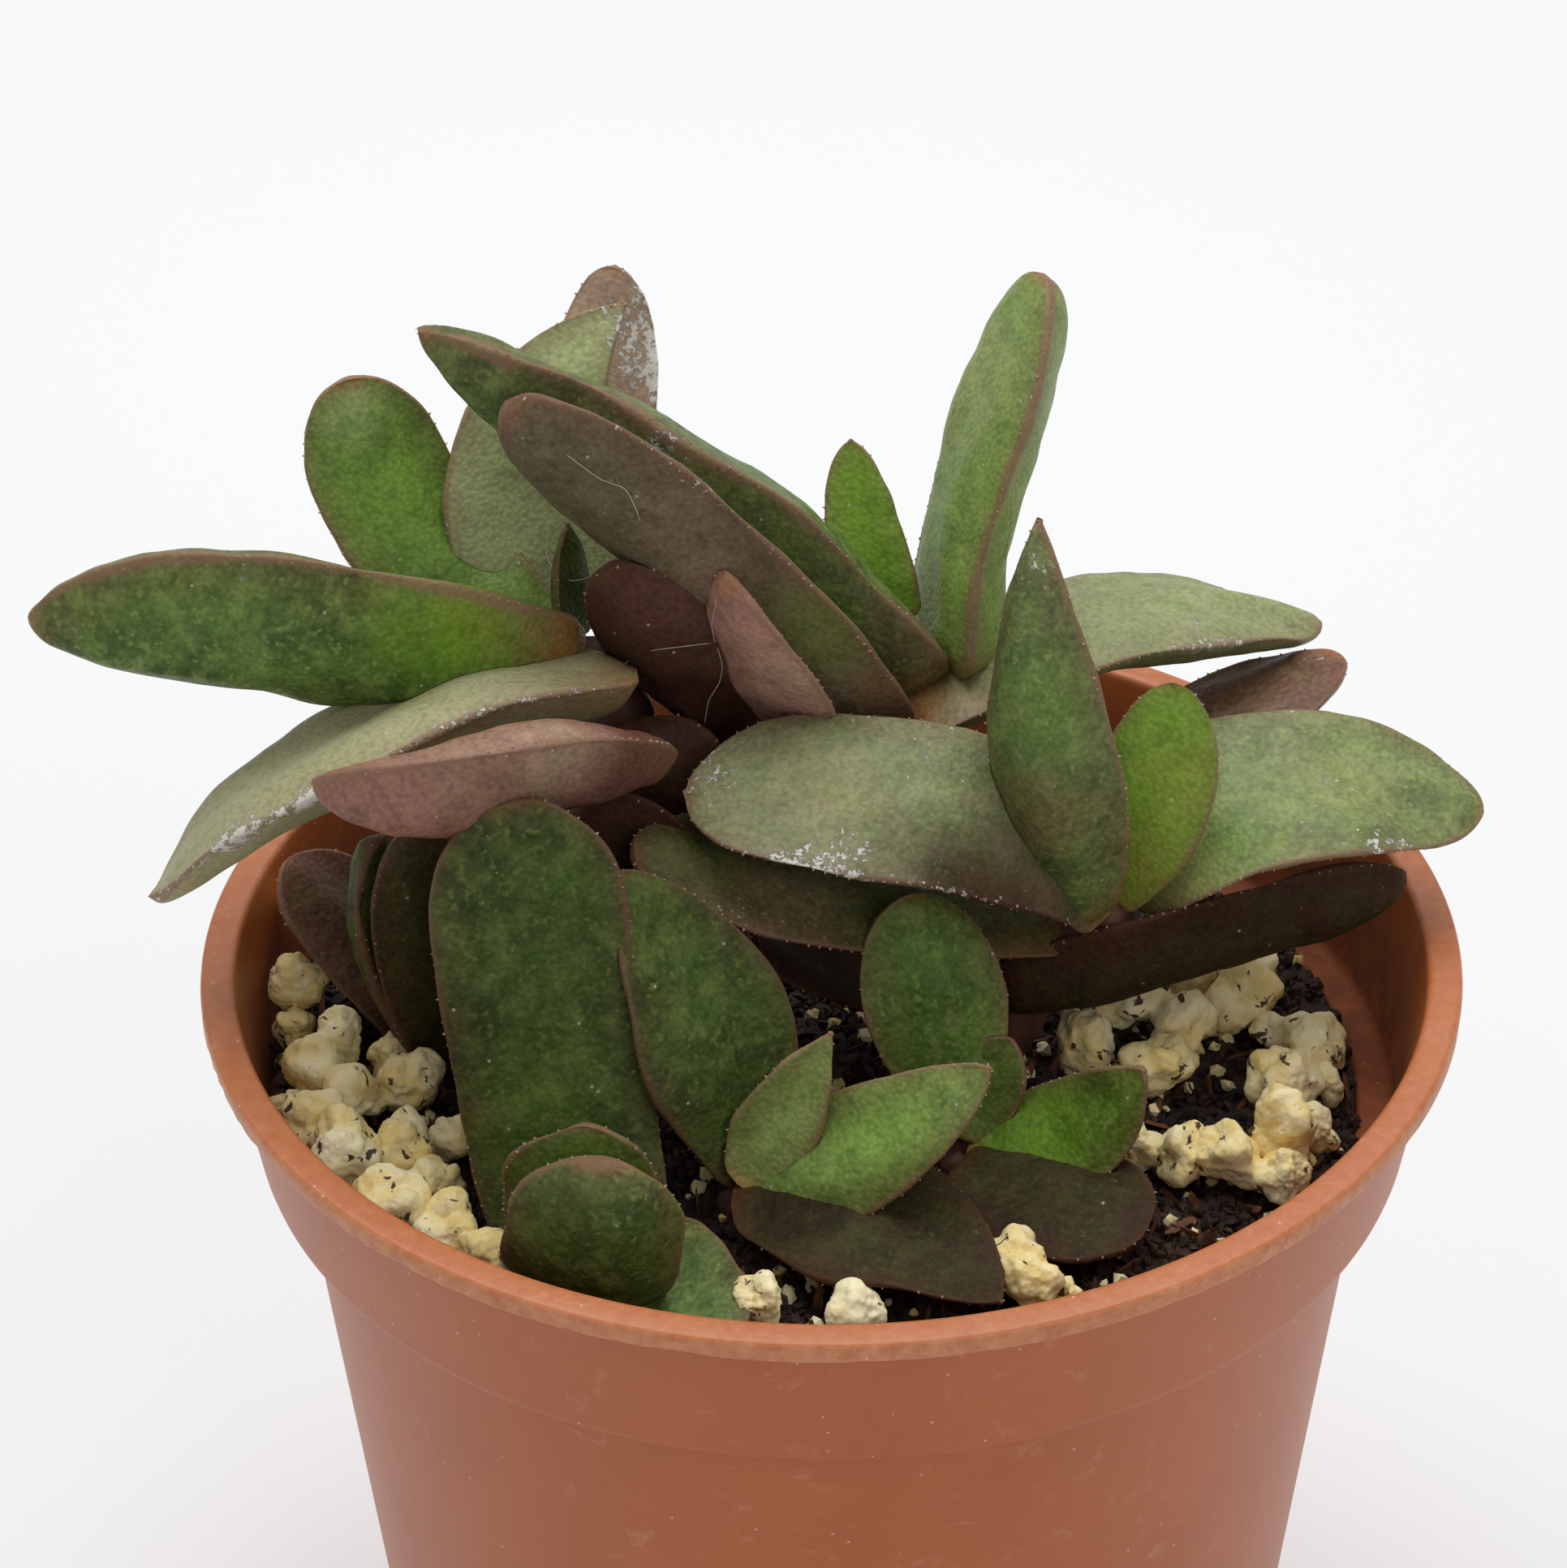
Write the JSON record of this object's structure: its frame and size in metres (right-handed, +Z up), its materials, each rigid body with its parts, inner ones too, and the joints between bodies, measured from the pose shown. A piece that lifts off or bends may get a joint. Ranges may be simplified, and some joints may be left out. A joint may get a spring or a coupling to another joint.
{
  "type": "potted gasteria",
  "caption": "Small clump of thick-leaved succulent rosettes growing with pumice grit in a round terracotta-coloured plastic nursery pot.",
  "frame": {"origin": "middle of the flat underside of the pot", "axes": "+Z up along the pot's axis, -Y towards the front of the picture, +X to its right"},
  "size_m": [0.0624, 0.055, 0.0761],
  "materials": {
    "pot": "satin",
    "peat": "matte",
    "pumice": "matte",
    "stem": "matte",
    "green": "satin",
    "bronze": "satin"
  },
  "bodies": {
    "root": {"leaf_a_back": "bronze", "leaf_a_behind": "bronze", "leaf_a_down": "green", "leaf_a_face": "green", "leaf_a_old": "bronze", "leaf_a_pale": "green", "leaf_a_pink": "bronze", "leaf_a_sheath": "bronze", "leaf_a_west": "green", "leaf_a_young": "green", "leaf_b_behind": "bronze", "leaf_b_grey": "bronze", "leaf_b_long": "green", "leaf_b_pink": "bronze", "leaf_b_right": "green", "leaf_b_round": "bronze", "leaf_b_small": "green", "leaf_b_tall": "green", "leaf_c_back": "bronze", "leaf_c_bright": "green", "leaf_c_dry_left": "bronze", "leaf_c_left": "green", "leaf_c_right": "green", "leaf_c_shade": "bronze", "leaf_c_under": "green", "leaf_c_up": "green", "leaf_d_front": "green", "leaf_d_low": "green", "leaf_d_tall": "green", "leaf_d_young": "green", "leaf_e_back": "green", "leaf_e_low": "bronze", "leaf_e_right": "green", "leaf_e_young": "green", "leaf_f_low": "bronze", "leaf_f_right": "green", "leaf_f_up": "green", "leaf_f_young": "green", "leaf_g_inner": "green", "leaf_g_mid": "green", "leaf_g_outer": "bronze", "pot": "pot", "potting_mix": "peat", "pumice_back": "pumice", "pumice_front_left": "pumice", "pumice_front_middle": "pumice", "pumice_front_right": "pumice", "pumice_left": "pumice", "pumice_right_back": "pumice", "pumice_right_far": "pumice", "pumice_right_front": "pumice", "stem_a": "stem", "stem_b": "stem", "stem_c": "stem", "stem_d": "stem", "stem_e": "stem", "stem_f": "stem", "stem_g": "stem"}
  },
  "joints": []
}
